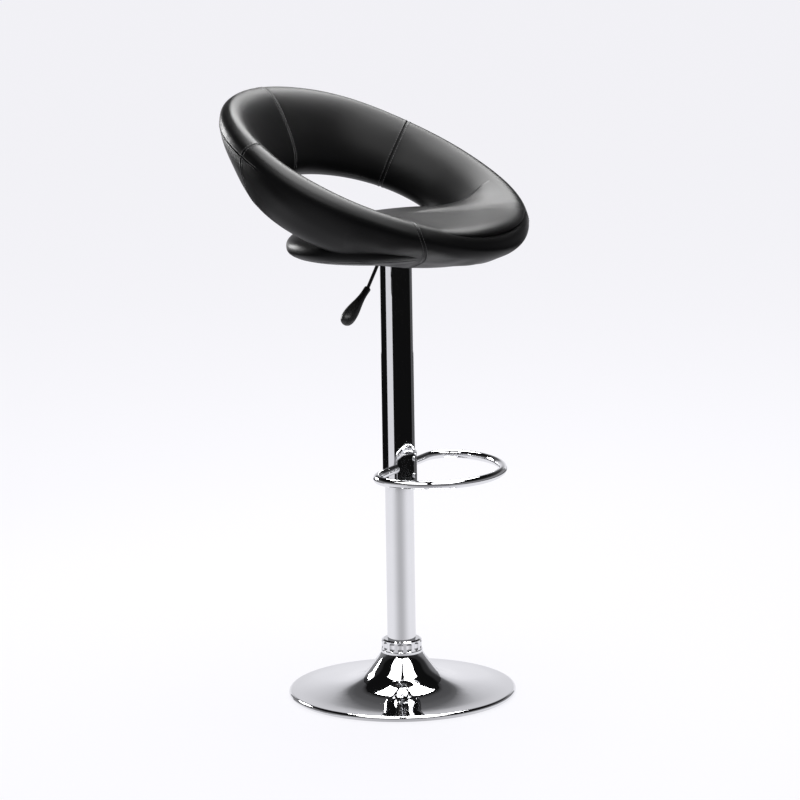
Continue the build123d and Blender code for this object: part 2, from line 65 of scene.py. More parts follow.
# Padded ring, in its own plane: turn is the angle round the ring from the back,
# roll the angle round its section
RING_TILT = radians(23)
RING_CENTRE = np.array([0.0, 0.0553, 0.8988])
RING_RADIUS = 0.2162
RING_HALF_THICK = 0.031
RING_HALF_LENGTH = 0.0733
RING_LENGTH_SWING = 0.0112
RING_LEAN = radians(43.9)
RING_LEAN_BACK = radians(-2.8)
RING_LEAN_SWING = radians(12.9)
RING_FULLNESS = 2.5
RING_TURNS = 900
RING_ROLLS = 220
TURN_CROWDING = (0.06, 3.5)
ROLL_CROWDING = (0.14, 6)
RING_WAVE = 0.0006
RING_WAVE_SCALE = 28

# Gathers in a band along the ring, strongest at the front
TUCK_ROLL = radians(20)
TUCK_WIDTH = 0.45
TUCK_SHARE = 0.35
TUCK_FRONT = -0.4
TUCK_HEIGHT = 0.0011
TUCK_SCALE = 90

# Seat cushion, an oval form tipped a little to the rear
PAD_CENTRE = np.array([0.0, -0.0127, 0.8217])
PAD_HALF_X = 0.201
PAD_HALF_Y = 0.194
PAD_HALF_Z = 0.035
PAD_TILT = radians(-4)
PAD_EDGE_FULLNESS = 2.6
PAD_OUTLINE_FULLNESS = 2.2
PAD_TURNS = 260
PAD_ROWS = 110
PAD_SEAM_RISE = radians(-22)
PAD_CROWD_WIDTH = 0.07
PAD_CROWD_BOOST = 7
PAD_EDGE_SCALE = 1.6
PAD_WAVE = 0.0005
PAD_WAVE_SCALE = 30

# Cushion's top where it runs over the ring
SWEEP_FROM = -0.1
SWEEP_FADE = 0.45
SWEEP_CEILING = 1.0
SWEEP_UNDER = 0.0004
SWEEP_BLEND = 0.03
TAUT_FROM = 0.2
TAUT_FADE = 0.5
TAUT_MOST = 0.007
TAUT_REACH = 0.065

# Room left under the cushion for the board
BOARD_ROOM_RADIUS = 0.1405
BOARD_ROOM_TOP = 0.8068
BOARD_ROOM_FADE = 0.002

# Sewing. A cross seam runs round the section at a turn, slanting by a little;
# the long seam runs along the back
CROSS_SEAMS = [(-142, 6, 140), (147, 5, 110), (72, 0, 0), (2.5, 4.5, 130), (-59, 0, 0)]
LONG_SEAM_ROLL = 50.0
LONG_SEAM_FROM = -68.0
LONG_SEAM_TO = 82.0
LONG_SEAM_FADE = 0.02
LONG_SEAM_ARM = 0.075
SEAM_DEPTH = 0.001
SEAM_WIDTH = 0.0012
WELT_HEIGHT = 0.00025
WELT_OFFSET = 0.0036
WELT_WIDTH = 0.0018
STITCH_OFFSET = 0.0034
STITCH_PITCH = 0.0046
STITCH_LENGTH = 0.0034
THREAD_RADIUS = 0.00042
THREAD_SIDES = 6
STITCH_RINGS = [(0.0, 0.35, -0.5), (0.12, 0.9, 0.1), (0.5, 1.0, 0.35), (0.88, 0.9, 0.1), (1.0, 0.35, -0.5)]
SEAM_STEPS = 900
GATHER_HEIGHT = 0.0002
GATHER_REACH = 0.012
GATHER_SCALE = 260

# Padding simulation: a skin a little too small is blown up, and a share of its smoothed swelling is kept
SIM_TURNS = 180
SIM_ROLLS = 60
SIM_FRAMES = 20
SIM_PRESSURE = 4.0
SIM_INSET = 0.004
SIM_TENSION = 25
SIM_BENDING = 2
HELD_WIDTH = 0.006
HELD_ARM = 0.07
HELD_SHARE = 0.6
HELD_LEAST = 0.02
PAD_HELD_WIDTH = 0.08
PAD_HELD_BELOW = -0.6
SWELL_SHARE = 0.5
SWELL_MOST = 0.0022
SWELL_ROUNDS = 14

# Seeds of the made-up unevenness
RING_WAVE_SEED = 3
PAD_WAVE_SEED = 5
CROSS_SEAM_SEED = 11
LONG_SEAM_SEED = 31
TUCK_SEED = 41
PAD_SEAM_SEED = 51

# Leather
LEATHER_DARK = (0.0008, 0.0008, 0.0009)
LEATHER_LIGHT = (0.0014, 0.0014, 0.0015)
LEATHER_ROUGH = (0.34, 0.41)
LEATHER_SPECULAR = 0.13
LEATHER_CELLS = 950
LEATHER_FINE = 420
LEATHER_DEPTH = 0.0004

# Plywood, stained nearly black
PLYWOOD_DARK = (0.02, 0.017, 0.014)
PLYWOOD_LIGHT = (0.035, 0.03, 0.026)
PLYWOOD_ROUGH = 0.7

# Metals: colour, least and most roughness, grain scale, grain strength
METALS = {
    "chrome": ((0.9, 0.905, 0.92), 0.02, 0.06, 300, 0.01),
    "zinc_steel": ((0.6, 0.61, 0.63), 0.28, 0.42, 600, 0.2),
    "bearing_steel": ((0.7, 0.7, 0.72), 0.12, 0.2, 900, 0.05),
}

# Other finishes: colour, roughness, grain scale, grain strength, coat
FINISHES = {
    "black_steel": ((0.012, 0.012, 0.013), 0.35, 700, 0.15, 0.2),
    "cast_iron": ((0.07, 0.07, 0.075), 0.75, 350, 0.6, 0.0),
    "black_rubber": ((0.014, 0.014, 0.014), 0.8, 500, 0.3, 0.0),
    "black_plastic": ((0.014, 0.014, 0.015), 0.5, 900, 0.25, 0.0),
    "grip_plastic": ((0.002, 0.002, 0.0022), 0.42, 900, 0.06, 0.0),
    "white_plastic": ((0.75, 0.75, 0.73), 0.45, 700, 0.1, 0.0),
    "thread": ((0.02, 0.02, 0.021), 0.45, 1500, 0.3, 0.0),
}

# Studio: angles run from the camera towards its right, in degrees
STUDIO_REACH = 30.0
STUDIO_TINT = (0.93, 0.925, 0.965)
FLOOR_COLOUR = (0.045, 0.045, 0.046)
FLOOR_ROUGH = 0.7
FLOOR_GLOW = 0.95
FLOOR_RADII = [0.02, 0.4, 0.8, 1.2, 1.65]
FLOOR_BRIGHT = 0.93
FLOOR_DIP = 0.4
WALL_RADIUS = 3.0
ROUND_RADIUS = 5.0
ROUND_SHARE = 0.3
WALL_HEIGHTS = [0, 0.6, 0.85, 1.05, 1.2, 1.35, 1.5, 1.75, 2.2, 2.6]
WALL_VALUES = [0.95, 0.88, 0.76, 0.66, 0.55, 0.3, 0.13, 0.09, 0.08, 0.02]
WORLD_COLOUR = (0.5, 0.5, 0.52)
WORLD_STRENGTH = 0.01

# Patches of bright floor further out: inner and outer radius, first and last angle, brightness
FLOOR_PATCHES = {
    "shine_left": (1.65, 4.5, -78, -32, 0.8),
    "shine_right": (1.65, 4.5, 112, 160, 0.1),
    "shine_back": (1.65, 3.0, 166, 194, 0.9),
}

# Soft boxes: place as right, near and height, then width, depth and radiance, and the place each one faces
SOFT_BOXES = {
    "soft_ceiling": ((0.1, -0.88, 2.25), 1.3, 2.6, 14.0, (0.1, -0.88, 0)),
    "soft_front_left": ((-0.77, 1.25, 2.25), 1.3, 1.6, 5.0, (-0.77, 1.25, 0)),
    "soft_front_right": ((0.77, 1.25, 2.25), 1.3, 1.6, 5.0, (0.77, 1.25, 0)),
    "soft_side_left": ((-1.23, -1.03, 0.95), 0.5, 0.5, 15.0, (0, 0, 0.95)),
}


# ---------------------------------------------------------------- geometry helpers

def signed_power(value, power):
    """A power that keeps the sign of its base."""
    return np.sign(value) * np.abs(value) ** power


def ring_points(turn, roll):
    """Points of the ring's skin for arrays of turn and roll, in radians."""
    power = 2 / RING_FULLNESS
    length = RING_HALF_LENGTH + RING_LENGTH_SWING * np.cos(2 * turn)
    lean = RING_LEAN + RING_LEAN_BACK * np.cos(turn) + RING_LEAN_SWING * np.cos(2 * turn)
    thick = RING_HALF_THICK * signed_power(np.cos(roll), power)
    tall = length * signed_power(np.sin(roll), power)
    outward = thick * np.cos(lean) + tall * np.sin(lean)
    upward = -thick * np.sin(lean) + tall * np.cos(lean)
    slope = np.array([0, cos(RING_TILT), sin(RING_TILT)])
    normal = np.array([0, -sin(RING_TILT), cos(RING_TILT)])
    side = np.array([1.0, 0, 0])
    radius = RING_RADIUS + outward
    along = (radius * np.cos(turn))[..., None] * slope + (radius * np.sin(turn))[..., None] * side
    return RING_CENTRE + along + upward[..., None] * normal


def skin_normals(points):
    """Outward unit normals of a closed grid of points."""
    turn_step = np.roll(points, -1, 0) - np.roll(points, 1, 0)
    roll_step = np.roll(points, -1, 1) - np.roll(points, 1, 1)
    normals = np.cross(turn_step, roll_step)
    normals /= np.linalg.norm(normals, axis=-1, keepdims=True) + 1e-12
    middle = points.mean(axis=1, keepdims=True)
    if ((points - middle) * normals).sum() < 0:
        normals = -normals
    return normals


def periodic_sample(values, places, axis):
    """Catmull-Rom values of a periodic grid at fractional places along one axis."""
    count = values.shape[axis]
    whole = np.floor(places).astype(int)
    part = places - whole
    shape = [1] * values.ndim
    shape[axis] = len(places)
    f = part.reshape(shape)
    p0, p1, p2, p3 = (np.take(values, (whole + k) % count, axis=axis) for k in (-1, 0, 1, 2))
    return p1 + 0.5 * f * (p2 - p0 + f * (2 * p0 - 5 * p1 + 4 * p2 - p3 + f * (3 * (p1 - p2) + p3 - p0)))


def dense_near(count, places, width, boost):
    """Angles round a full turn, closer together near some places."""
    fine = np.linspace(-pi, pi, 7201)
    density = np.ones_like(fine)
    for place in places:
        away = (fine - place + pi) % (2 * pi) - pi
        density += boost * np.exp(-(away / width) ** 2)
    total = np.concatenate([[0], np.cumsum((density[1:] + density[:-1]) / 2)])
    return np.interp(np.arange(count) / count * total[-1], total, fine)


def new_mesh(name, points, faces, smooth=True):
    """An object of points and faces, linked into the scene."""
    mesh = bpy.data.meshes.new(name)
    mesh.from_pydata([tuple(p) for p in points], [], faces)
    mesh.update()
    if smooth:
        mesh.shade_smooth()
    else:
        mesh.shade_flat()
    made = bpy.data.objects.new(name, mesh)
    bpy.context.scene.collection.objects.link(made)
    return made


def closed_grid_faces(turns, rolls):
    """Four-sided faces of a grid that closes in both directions."""
    faces = []
    for i in range(turns):
        j = (i + 1) % turns
        for k in range(rolls):
            m = (k + 1) % rolls
            faces.append((i * rolls + k, i * rolls + m, j * rolls + m, j * rolls + k))
    return faces


def ripple(points, scale, seed):
    """Smooth made-up unevenness from a few fixed waves, between about -1 and 1."""
    chooser = np.random.default_rng(seed)
    total = np.zeros(points.shape[:-1])
    for _ in range(7):
        direction = chooser.normal(size=3)
        direction /= np.linalg.norm(direction)
        total += np.sin(points @ direction * scale * chooser.uniform(0.6, 1.6) + chooser.uniform(0, 2 * pi))
    return total / 3.5


def simulate_padding(points, faces, pins, name):
    """Blows a slightly small skin up from inside with its seams held, and returns the new points."""
    skin = new_mesh(name, points, faces)
    group = skin.vertex_groups.new(name="held")
    for index, weight in enumerate(pins):
        if weight > HELD_LEAST:
            group.add([index], float(weight), "REPLACE")
    cloth = skin.modifiers.new("padding", "CLOTH")
    cloth.settings.vertex_group_mass = "held"
    cloth.settings.use_pressure = True
    cloth.settings.uniform_pressure_force = SIM_PRESSURE
    cloth.settings.effector_weights.gravity = 0
    cloth.settings.tension_stiffness = SIM_TENSION
    cloth.settings.bending_stiffness = SIM_BENDING
    cloth.collision_settings.use_collision = False
    cloth.point_cache.frame_end = SIM_FRAMES
    scene = bpy.context.scene
    for frame_number in range(1, SIM_FRAMES + 1):
        scene.frame_set(frame_number)
    settled = skin.evaluated_get(bpy.context.evaluated_depsgraph_get()).to_mesh()
    blown = np.array([v.co for v in settled.vertices])
    bpy.data.objects.remove(skin)
    scene.frame_set(1)
    return blown


def swelling(start, end, outward, ends):
    """How far each point of a grid swelled outward in the simulation, smoothed and kept small."""
    swell = ((end - start) * outward).sum(axis=-1)
    for _ in range(SWELL_ROUNDS):
        wide = np.pad(swell, ((0, 0), (1, 1)), mode=ends)
        swell = (2 * swell + wide[:, :-2] + wide[:, 2:] + np.roll(swell, 1, 0) + np.roll(swell, -1, 0)) / 6
    return np.clip((swell - swell.mean()) * SWELL_SHARE, -SWELL_MOST, SWELL_MOST)


# ---------------------------------------------------------------- upholstery

def cross_seam_turn(seam, roll):
    """The turn, in radians, of a cross seam at each roll."""
    turn, swing, peak = seam
    return np.radians(turn + swing * np.cos(roll - radians(peak)))


def angle_between(a, b):
    """The signed angle from b to a, from -pi to pi."""
    return (a - b + pi) % (2 * pi) - pi


def ring_radius_at(points):
    """Distance from the ring's own axis."""
    normal = np.array([0, -sin(RING_TILT), cos(RING_TILT)])
    away = points - RING_CENTRE
    flat = away - (away @ normal)[..., None] * normal
    return np.linalg.norm(flat, axis=-1)


def long_seam_fade(turn):
    """1 along the back, falling to 0 past the long seam's ends."""
    middle = radians((LONG_SEAM_FROM + LONG_SEAM_TO) / 2)
    half = radians((LONG_SEAM_TO - LONG_SEAM_FROM) / 2)
    past = np.abs(angle_between(turn, middle)) - half
    return 1 / (1 + np.exp(past / LONG_SEAM_FADE))


def seam_profile(distance):
    """Depth of the groove and height of the welts at a distance from a seam."""
    groove = -SEAM_DEPTH * np.exp(-(distance / SEAM_WIDTH) ** 2)
    welt = WELT_HEIGHT * np.exp(-((np.abs(distance) - WELT_OFFSET) / WELT_WIDTH) ** 2)
    return groove + welt


def pucker(distance, points, seed):
    """Small gathers that run away from a seam."""
    return GATHER_HEIGHT * np.exp(-np.abs(distance) / GATHER_REACH) * ripple(points, GATHER_SCALE, seed)


def puffed_ring():
    """The ring's skin on the simulation grid."""
    turn = np.arange(SIM_TURNS) / SIM_TURNS * 2 * pi - pi
    roll = np.arange(SIM_ROLLS) / SIM_ROLLS * 2 * pi - pi
    turns, rolls = np.meshgrid(turn, roll, indexing="ij")
    full = ring_points(turns, rolls)
    radius = ring_radius_at(full)
    held = np.zeros_like(turns)
    for seam in CROSS_SEAMS:
        distance = angle_between(turns, cross_seam_turn(seam, rolls)) * radius
        held = np.maximum(held, np.exp(-(distance / HELD_WIDTH) ** 2))
    long_distance = angle_between(rolls, radians(LONG_SEAM_ROLL)) * HELD_ARM
    held = np.maximum(held, long_seam_fade(turns) * np.exp(-(long_distance / HELD_WIDTH) ** 2))
    outward = skin_normals(full)
    small = full - outward * (SIM_INSET * (1 - HELD_SHARE * held))[..., None]
    faces = closed_grid_faces(SIM_TURNS, SIM_ROLLS)
    blown = simulate_padding(small.reshape(-1, 3), faces, held.ravel(), "ring_sim").reshape(full.shape)
    return full + outward * swelling(small, blown, outward, "wrap")[..., None]


def make_ring():
    """The back ring: padded skin, sewn seams and gathers."""
    shape = puffed_ring()
    seam_turns = [radians(seam[0]) for seam in CROSS_SEAMS]
    fine_turn = dense_near(RING_TURNS, seam_turns, *TURN_CROWDING)
    fine_roll = dense_near(RING_ROLLS, [radians(LONG_SEAM_ROLL)], *ROLL_CROWDING)
    turns = np.repeat(fine_turn[:, None], len(fine_roll), 1)
    rolls = np.repeat(fine_roll[None, :], len(fine_turn), 0)
    coarse = periodic_sample(shape, (fine_turn + pi) / (2 * pi) * SIM_TURNS, 0)
    points = periodic_sample(coarse, (fine_roll + pi) / (2 * pi) * SIM_ROLLS, 1)
    normals = skin_normals(points)
    radius = ring_radius_at(points)
    lift = RING_WAVE * ripple(points, RING_WAVE_SCALE, RING_WAVE_SEED)
    for seed, seam in enumerate(CROSS_SEAMS):
        distance = angle_between(turns, cross_seam_turn(seam, rolls)) * radius
        lift += seam_profile(distance) + pucker(distance, points, CROSS_SEAM_SEED + seed)
    ahead = angle_between(np.roll(rolls, -1, 1), rolls)
    step = np.linalg.norm(np.roll(points, -1, 1) - points, axis=-1) / ahead
    long_distance = angle_between(rolls, radians(LONG_SEAM_ROLL)) * step
    gathers = pucker(long_distance, points, LONG_SEAM_SEED)
    lift += long_seam_fade(turns) * (seam_profile(long_distance) + gathers)
    tucked = np.exp(-(angle_between(rolls, TUCK_ROLL) / TUCK_WIDTH) ** 2)
    tucked = tucked * (TUCK_SHARE + (1 - TUCK_SHARE) * (np.cos(turns) < TUCK_FRONT))
    lift += TUCK_HEIGHT * tucked * ripple(points, TUCK_SCALE, TUCK_SEED)
    points = points + normals * lift[..., None]
    ring = new_mesh("ring_cover", points.reshape(-1, 3), closed_grid_faces(len(fine_turn), len(fine_roll)))
    return ring, points, fine_turn, fine_roll


def stitch_mesh(starts, ends, normals, name):
    """Short rounded stitches of thread between pairs of points."""
    sides = THREAD_SIDES
    points, faces = [], []
    for a, b, n in zip(starts, ends, normals):
        run = b - a
        across = np.cross(run, n)
        across /= np.linalg.norm(across) + 1e-12
        base = len(points)
        for share, size, height in STITCH_RINGS:
            centre = a + run * share + n * THREAD_RADIUS * height
            for side in range(sides):
                angle = 2 * pi * side / sides
                points.append(centre + THREAD_RADIUS * size * (across * cos(angle) + n * sin(angle)))
        for row in range(len(STITCH_RINGS) - 1):
            for side in range(sides):
                other = (side + 1) % sides
                low = base + row * sides
                faces.append((low + side, low + other, low + sides + other, low + sides + side))
        faces.append(tuple(base + side for side in reversed(range(sides))))
        last = base + (len(STITCH_RINGS) - 1) * sides
        faces.append(tuple(last + side for side in range(sides)))
    return new_mesh(name, points, faces)


def along_line(line):
    """Even steps along a line of points: positions of the stitch starts and ends."""
    lengths = np.concatenate([[0], np.cumsum(np.linalg.norm(np.diff(line, axis=0), axis=1))])
    starts = np.arange(0, lengths[-1] - STITCH_LENGTH, STITCH_PITCH)

    def at(where):
        return np.stack([np.interp(where, lengths, line[:, axis]) for axis in range(3)], 1)
    return at(starts), at(starts + STITCH_LENGTH)


def make_stitches(points, fine_turn, fine_roll):
    """Two rows of stitches beside every seam of the ring."""
    normals = skin_normals(points)
    starts, ends, ups = [], [], []

    def pick(turn, roll):
        """The skin point and its normal at arrays of turn and roll."""
        i = np.searchsorted(fine_turn, (turn + pi) % (2 * pi) - pi) % len(fine_turn)
        k = np.searchsorted(fine_roll, (roll + pi) % (2 * pi) - pi) % len(fine_roll)
        low_i = (i - 1) % len(fine_turn)
        low_k = (k - 1) % len(fine_roll)
        part_i = angle_between(turn, fine_turn[low_i]) / angle_between(fine_turn[i], fine_turn[low_i])
        part_k = angle_between(roll, fine_roll[low_k]) / angle_between(fine_roll[k], fine_roll[low_k])
        part_i, part_k = part_i[:, None], part_k[:, None]

        def blend(grid):
            low = grid[low_i, low_k] * (1 - part_k) + grid[low_i, k] * part_k
            high = grid[i, low_k] * (1 - part_k) + grid[i, k] * part_k
            return low * (1 - part_i) + high * part_i
        return blend(points), blend(normals)

    def add_row(turn, roll):
        line, up = pick(turn, roll)
        a, b = along_line(line)
        nearest = [np.argmin(np.linalg.norm(line - p, axis=1)) for p in a]
        starts.extend(a)
        ends.extend(b)
        ups.extend(up[nearest])

    roll = np.linspace(-pi, pi, SEAM_STEPS)
    for seam in CROSS_SEAMS:
        base_turn = cross_seam_turn(seam, roll)
        middle, _ = pick(base_turn, roll)
        reach = STITCH_OFFSET / ring_radius_at(middle)
        for side in (-1, 1):
            add_row(base_turn + side * reach, roll)
    turn = np.linspace(radians(LONG_SEAM_FROM), radians(LONG_SEAM_TO), SEAM_STEPS)
    for side in (-1, 1):
        row_roll = radians(LONG_SEAM_ROLL) + side * STITCH_OFFSET / LONG_SEAM_ARM
        add_row(turn, np.full_like(turn, row_roll))
    return stitch_mesh(starts, ends, ups, "ring_stitching")


def pad_points(turn, rise):
    """Points of the cushion's skin: turn round it, rise from -90 degrees underneath to 90 on top."""
    outline = 2 / PAD_OUTLINE_FULLNESS
    edge = 2 / PAD_EDGE_FULLNESS
    reach = signed_power(np.cos(rise), edge)
    x = PAD_HALF_X * reach * signed_power(np.cos(turn), outline)
    y = PAD_HALF_Y * reach * signed_power(np.sin(turn), outline)
    z = PAD_HALF_Z * signed_power(np.sin(rise), edge)
    turned_y = y * cos(PAD_TILT) - z * sin(PAD_TILT)
    turned_z = y * sin(PAD_TILT) + z * cos(PAD_TILT)
    return PAD_CENTRE + np.stack([x, turned_y, turned_z], -1)


def pad_grid():
    """Turn and rise of the cushion's grid, closer together by its seam."""
    turn = np.arange(PAD_TURNS) / PAD_TURNS * 2 * pi
    fine = np.linspace(-pi / 2, pi / 2, 2001)
    density = 1 + PAD_CROWD_BOOST * np.exp(-((fine - PAD_SEAM_RISE) / PAD_CROWD_WIDTH) ** 2)
    total = np.concatenate([[0], np.cumsum((density[1:] + density[:-1]) / 2)])
    rise = np.interp(np.linspace(0, total[-1], PAD_ROWS + 2)[1:-1], total, fine)
    return np.meshgrid(turn, rise, indexing="ij")


def pad_faces():
    """Faces of the cushion: rows round it, and a fan at the bottom and the top."""
    faces = []
    bottom = PAD_TURNS * PAD_ROWS
    for i in range(PAD_TURNS):
        j = (i + 1) % PAD_TURNS
        for k in range(PAD_ROWS - 1):
            faces.append((i * PAD_ROWS + k, j * PAD_ROWS + k, j * PAD_ROWS + k + 1, i * PAD_ROWS + k + 1))
        faces.append((bottom, j * PAD_ROWS, i * PAD_ROWS))
        faces.append((bottom + 1, (i + 1) * PAD_ROWS - 1, (j + 1) * PAD_ROWS - 1))
    return faces


def with_poles(points):
    """The grid as a list of points, with one more under it and one on top."""
    flat = points.reshape(-1, 3)
    return np.concatenate([flat, [points[:, 0].mean(axis=0)], [points[:, -1].mean(axis=0)]])


def stretched(reach, height):
    """Heights of a taut skin laid over a line of points, given each point's reach from the middle."""
    kept = []
    for k in np.argsort(reach):
        while len(kept) > 1:
            a, b = kept[-2:]
            straight = (reach[b] - reach[a]) * (height[k] - height[a])
            if straight < (height[b] - height[a]) * (reach[k] - reach[a]):
                break
            kept.pop()
        kept.append(k)
    return np.interp(reach, reach[kept], height[kept])


def sweep_into_ring(points, turns, rises, ring):
    """Raises the cushion's top at the front so that it runs smoothly over into the ring's front roll."""
    taut = np.clip((-np.sin(turns[:, 0]) - TAUT_FROM) / TAUT_FADE, 0, 1)
    taut = taut * taut * (3 - 2 * taut)
    away = points[..., :2] - PAD_CENTRE[:2]
    share = np.linalg.norm(away, axis=-1) / PAD_HALF_X
    points[..., :2] += away * (TAUT_REACH * taut[:, None] * share ** 2 * (rises > 0))[..., None]
    tree = BVHTree.FromObject(ring, bpy.context.evaluated_depsgraph_get())
    front = np.clip((-np.sin(turns) - SWEEP_FROM) / SWEEP_FADE, 0, 1) * (rises > 0)
    for place in zip(*np.nonzero(front > 0)):
        x, y, z = points[place]
        hit = tree.ray_cast(Vector((x, y, SWEEP_CEILING)), Vector((0, 0, -1)))[0]
        if hit is None:
            continue
        ring_top = hit.z - SWEEP_UNDER
        blend = max(0.0, 1 - abs(z - ring_top) / SWEEP_BLEND)
        points[place][2] += (max(z, ring_top) + blend * blend * SWEEP_BLEND / 4 - z) * front[place]
    upper = rises[0] > 0
    for i in np.nonzero(taut > 0)[0]:
        line = points[i, upper]
        reach = np.hypot(line[:, 0] - PAD_CENTRE[0], line[:, 1] - PAD_CENTRE[1])
        lift = stretched(reach, line[:, 2]) - line[:, 2]
        points[i, upper, 2] += TAUT_MOST * np.tanh(lift / TAUT_MOST) * taut[i]


def make_pad(ring):
    """The seat cushion: padded, sewn round its lower edge, swept up into the ring's front."""
    turns, rises = pad_grid()
    points = pad_points(turns, rises)
    outward = points - PAD_CENTRE
    outward /= np.linalg.norm(outward, axis=-1, keepdims=True)
    held = np.exp(-((rises - PAD_SEAM_RISE) / PAD_HELD_WIDTH) ** 2)
    small = with_poles(points - outward * (HELD_SHARE * SIM_INSET * (1 - held))[..., None])
    pins = np.concatenate([np.maximum(held, rises < PAD_HELD_BELOW).ravel(), [1, 0]])
    blown = simulate_padding(small, pad_faces(), pins, "pad_sim")[:-2].reshape(points.shape)
    start = small[:-2].reshape(points.shape)
    points = points + outward * swelling(start, blown, outward, "edge")[..., None]
    edge = (rises - PAD_SEAM_RISE) * PAD_HALF_Z * PAD_EDGE_SCALE
    points += outward * (seam_profile(edge) + pucker(edge, points, PAD_SEAM_SEED))[..., None]
    sweep_into_ring(points, turns, rises, ring)
    from_axis = np.hypot(points[..., 0], points[..., 1])
    room = np.clip((BOARD_ROOM_RADIUS + BOARD_ROOM_FADE - from_axis) / BOARD_ROOM_FADE, 0, 1)
    under = (rises < 0) * room
    points[..., 2] = points[..., 2] * (1 - under) + np.maximum(points[..., 2], BOARD_ROOM_TOP) * under
    points[..., 2] += PAD_WAVE * ripple(points, PAD_WAVE_SCALE, PAD_WAVE_SEED) * (rises > 0)
    return new_mesh("seat_cushion", with_poles(points), pad_faces())


# ---------------------------------------------------------------- materials

def start_material(name):
    """A new material with its nodes, links, main shader and texture place."""
    material = bpy.data.materials.new(name)
    material.use_nodes = True
    nodes = material.node_tree.nodes
    links = material.node_tree.links
    shader = next(n for n in nodes if n.type == "BSDF_PRINCIPLED")
    place = nodes.new("ShaderNodeTexCoord")
    return material, nodes, links, shader, place


def noise(nodes, links, place, scale, detail):
    """Noise laid out on the piece itself."""
    node = nodes.new("ShaderNodeTexNoise")
    node.inputs["Scale"].default_value = scale
    node.inputs["Detail"].default_value = detail
    links.new(place.outputs["Object"], node.inputs["Vector"])
    return node


def ramp(nodes, links, source, low, high):
    """Maps a 0 to 1 texture onto a range."""
    node = nodes.new("ShaderNodeMapRange")
    node.inputs["To Min"].default_value = low
    node.inputs["To Max"].default_value = high
    links.new(source, node.inputs["Value"])
    return node.outputs["Result"]


def tint(nodes, links, source, dark, light):
    """Mixes two colours by a texture."""
    node = nodes.new("ShaderNodeMix")
    node.data_type = "RGBA"
    node.inputs["A"].default_value = (*dark, 1)
    node.inputs["B"].default_value = (*light, 1)
    links.new(source, node.inputs["Factor"])
    return node.outputs["Result"]


def bump(nodes, links, shader, heights, distance):
    """Chains bumps, each a texture output and a strength."""
    last = None
    for height, strength in heights:
        node = nodes.new("ShaderNodeBump")
        node.inputs["Strength"].default_value = strength
        node.inputs["Distance"].default_value = distance
        links.new(height, node.inputs["Height"])
        if last:
            links.new(last.outputs["Normal"], node.inputs["Normal"])
        last = node
    links.new(last.outputs["Normal"], shader.inputs["Normal"])


def leather():
    """Smooth black upholstery leather with a fine grain."""
    material, nodes, links, shader, place = start_material("black_leather")
    broad = noise(nodes, links, place, 9, 2)
    cells = nodes.new("ShaderNodeTexVoronoi")
    cells.inputs["Scale"].default_value = LEATHER_CELLS
    cells.feature = "DISTANCE_TO_EDGE"
    links.new(place.outputs["Object"], cells.inputs["Vector"])
    fine = noise(nodes, links, place, LEATHER_FINE, 3)
    colour = tint(nodes, links, broad.outputs["Fac"], LEATHER_DARK, LEATHER_LIGHT)
    links.new(colour, shader.inputs["Base Color"])
    links.new(ramp(nodes, links, broad.outputs["Fac"], *LEATHER_ROUGH), shader.inputs["Roughness"])
    shader.inputs["Specular IOR Level"].default_value = LEATHER_SPECULAR
    grain = [(cells.outputs["Distance"], 0.12), (fine.outputs["Fac"], 0.1)]
    bump(nodes, links, shader, grain, LEATHER_DEPTH)
    return material


def metal(name, colour, rough_low, rough_high, grain, strength):
    """Metal whose roughness wanders a little, with fine grain."""
    material, nodes, links, shader, place = start_material(name)
    broad = noise(nodes, links, place, 14, 4)
    fine = noise(nodes, links, place, grain, 2)
    darker = tuple(c * 0.93 for c in colour)
    links.new(tint(nodes, links, broad.outputs["Fac"], darker, colour), shader.inputs["Base Color"])
    links.new(ramp(nodes, links, broad.outputs["Fac"], rough_low, rough_high), shader.inputs["Roughness"])
    shader.inputs["Metallic"].default_value = 1.0
    bump(nodes, links, shader, [(fine.outputs["Fac"], strength)], 0.0002)
    return material


def plain(name, colour, roughness, grain, strength, coat):
    """Plastic, paint, rubber or raw castings: even colour with a fine surface texture."""
    material, nodes, links, shader, place = start_material(name)
    broad = noise(nodes, links, place, 25, 3)
    fine = noise(nodes, links, place, grain, 3)
    lighter = tuple(min(1, c * 1.25 + 0.004) for c in colour)
    links.new(tint(nodes, links, broad.outputs["Fac"], colour, lighter), shader.inputs["Base Color"])
    links.new(ramp(nodes, links, broad.outputs["Fac"], roughness * 0.88, roughness * 1.12),
              shader.inputs["Roughness"])
    shader.inputs["Coat Weight"].default_value = coat
    bump(nodes, links, shader, [(fine.outputs["Fac"], strength)], 0.0003)
    return material


def plywood():
    """Dark stained plywood with a faint wavy grain."""
    material, nodes, links, shader, place = start_material("plywood")
    wave = nodes.new("ShaderNodeTexWave")
    wave.inputs["Scale"].default_value = 22
    wave.inputs["Distortion"].default_value = 6
    wave.inputs["Detail"].default_value = 3
    links.new(place.outputs["Object"], wave.inputs["Vector"])
    colour = tint(nodes, links, wave.outputs["Fac"], PLYWOOD_DARK, PLYWOOD_LIGHT)
    links.new(colour, shader.inputs["Base Color"])
    shader.inputs["Roughness"].default_value = PLYWOOD_ROUGH
    bump(nodes, links, shader, [(wave.outputs["Fac"], 0.2)], 0.0003)
    return material


def make_materials():
    """One material for each finish in the record, and one for the thread."""
    materials = {"black_leather": leather(), "plywood": plywood()}
    for name, look in METALS.items():
        materials[name] = metal(name, *look)
    for name, look in FINISHES.items():
        materials[name] = plain(name, *look)
    return materials


